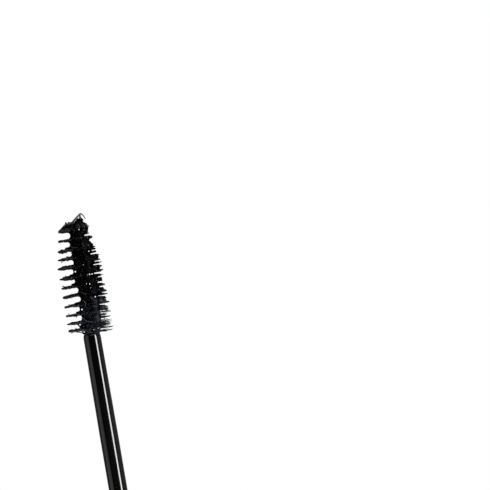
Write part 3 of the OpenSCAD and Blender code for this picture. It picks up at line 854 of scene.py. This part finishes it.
class MASCARA_OT_shell_finishes(bpy.types.Operator):
    """Finish the sleeve, the cap, the plug, the label and the metal collar"""
    bl_idname = "mascara.shell_finishes"
    bl_label = "Tube and Cap Finishes"

    def execute(self, context):
        colors = context.scene.mascara_finish
        shell = tuple(colors.shell)
        gloss = finish(
            "shell_gloss", shell, tuple(c * 1.5 for c in shell), (0.05, 0.12), 55.0, 900.0, 0.0012,
            Coat_Weight=0.6, Coat_Roughness=0.03)
        for node in ("outer_sleeve", "cap_shell"):
            dress(node, gloss)
        dress("base_plug", finish(
            "plug_satin", (0.012, 0.012, 0.013), (0.02, 0.02, 0.021), (0.4, 0.52), 300.0, 5200.0, 0.012))
        dress("base_label", finish(
            "label_film", (0.60, 0.595, 0.58), (0.66, 0.655, 0.64), (0.36, 0.46), 240.0, 7000.0, 0.004))
        metal = tuple(colors.collar)
        dress("shoulder_collar", finish(
            "collar_turned", metal, tuple(c * 0.8 for c in metal), (0.2, 0.3), 300.0, 2600.0, 0.004,
            stretch=9.0, Metallic=1.0))
        return {"FINISHED"}


class MASCARA_OT_inner_finishes(bpy.types.Operator):
    """Finish the bottle and its neck, the wiper, the cap's liner, the seal, the stem and the wire"""
    bl_idname = "mascara.inner_finishes"
    bl_label = "Bottle, Liner and Stem Finishes"

    def execute(self, context):
        colors = context.scene.mascara_finish
        black = tuple(colors.mascara)
        natural = tuple(colors.natural)
        dim = tuple(c * 0.9 for c in natural)
        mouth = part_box("bottle")[1][0]
        dress("bottle", finish(
            "bottle_satin", (0.014, 0.014, 0.015), (0.022, 0.022, 0.024), (0.24, 0.36), 260.0, 3000.0, 0.006,
            traces_and_sheen=(black, mouth - 4 * MM, mouth, 0.34)))
        dress("wiper", finish(
            "wiper_soft", natural, dim, (0.3, 0.42), 300.0, 3600.0, 0.008,
            traces_and_sheen=(black, mouth + 0.9 * MM, mouth - 5 * MM, 0.62),
            Subsurface_Weight=0.25, Subsurface_Scale=0.001))
        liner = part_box("inner_cap")[0][0]
        dress("inner_cap", finish(
            "liner_natural", natural, dim, (0.3, 0.4), 260.0, 3200.0, 0.006,
            traces_and_sheen=(black, liner + 7 * MM, liner + 14 * MM, 0.30),
            Subsurface_Weight=0.2, Subsurface_Scale=0.001))
        dress("seal_ring", finish(
            "seal_foam", (0.72, 0.71, 0.67), (0.6, 0.59, 0.55), (0.7, 0.85), 900.0, 6500.0, 0.05,
            traces_and_sheen=(black, liner + 8 * MM, liner + 16 * MM, 0.28)))
        stem = tuple(colors.stem)
        dress("stem", finish(
            "stem_gloss", stem, tuple(c * 1.6 for c in stem), (0.07, 0.12), 180.0, 1400.0, 0.0015,
            stretch=0.35, Coat_Weight=0.3, Coat_Roughness=0.04))
        dress("core_wire", finish(
            "wire_coated", (0.05, 0.05, 0.052), (0.3, 0.3, 0.31), (0.3, 0.4), 700.0, 4200.0, 0.01,
            traces_and_sheen=(black, 10.0, 0.0, 0.45), Metallic=1.0))
        dress("formula", mascara_finish("mascara_pool", 0.5))
        return {"FINISHED"}


class MASCARA_OT_bristles(bpy.types.Operator):
    """Build the rows of clumped bristles"""
    bl_idname = "mascara.bristles"
    bl_label = "Bristle Rows"

    def execute(self, context):
        settings = context.scene.mascara_brush
        wet = mascara_finish("mascara_on_bristles", 0.3, 0.46)
        for k, node in enumerate(ROWS):
            piece = mesh_object("coated_" + node, *bristle_row(k, settings))
            piece.data.materials.append(wet)
            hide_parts(node)
            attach(piece, "wand")
        return {"FINISHED"}


class MASCARA_OT_carried(bpy.types.Operator):
    """Build the mascara that the brush carries, and the strand at its tip"""
    bl_idname = "mascara.carried"
    bl_label = "Carried Mascara"

    def execute(self, context):
        settings = context.scene.mascara_brush
        wet = mascara_finish("mascara_carried", 0.015, 0.46)
        body = mesh_object("carried_mascara", *carried_mascara(settings))
        body.data.materials.append(wet)
        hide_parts("formula_on_brush")
        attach(body, "wand")
        tip = mesh_object("tip_strands", *tip_strands())
        tip.data.materials.append(mascara_finish("mascara_strand", 0.5, 0.46, 0.45))
        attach(tip, "wand")
        return {"FINISHED"}


class MASCARA_PT_panel(bpy.types.Panel):
    """Every step of the mascara, in order"""
    bl_label = "Mascara"
    bl_idname = "MASCARA_PT_panel"
    bl_space_type = "VIEW_3D"
    bl_region_type = "UI"
    bl_category = "Mascara"

    def draw(self, context):
        scene = context.scene
        for settings, names in ((scene.mascara_brush, ("fan", "hairs", "hair_radius", "lump", "seed")),
                                (scene.mascara_finish, ("shell", "stem", "mascara", "collar", "natural")),
                                (scene.mascara_studio, ("lens", "height", "lean", "strip", "panel"))):
            box = self.layout.box()
            for name in names:
                box.prop(settings, name)
        for step in STEPS:
            self.layout.operator(step.bl_idname)


STEPS = (MASCARA_OT_stage, MASCARA_OT_shell_finishes, MASCARA_OT_inner_finishes, MASCARA_OT_bristles,
         MASCARA_OT_carried)
CLASSES = (MascaraBrush, MascaraFinish, MascaraStudio) + STEPS + (MASCARA_PT_panel,)


def register():
    for cls in CLASSES:
        bpy.utils.register_class(cls)
    bpy.types.Scene.mascara_brush = bpy.props.PointerProperty(type=MascaraBrush)
    bpy.types.Scene.mascara_finish = bpy.props.PointerProperty(type=MascaraFinish)
    bpy.types.Scene.mascara_studio = bpy.props.PointerProperty(type=MascaraStudio)


def unregister():
    del bpy.types.Scene.mascara_studio
    del bpy.types.Scene.mascara_finish
    del bpy.types.Scene.mascara_brush
    for cls in reversed(CLASSES):
        bpy.utils.unregister_class(cls)


def main():
    register()
    bpy.ops.mascara.stage()
    bpy.ops.mascara.shell_finishes()
    bpy.ops.mascara.inner_finishes()
    bpy.ops.mascara.bristles()
    bpy.ops.mascara.carried()


if __name__ == "__main__":
    main()
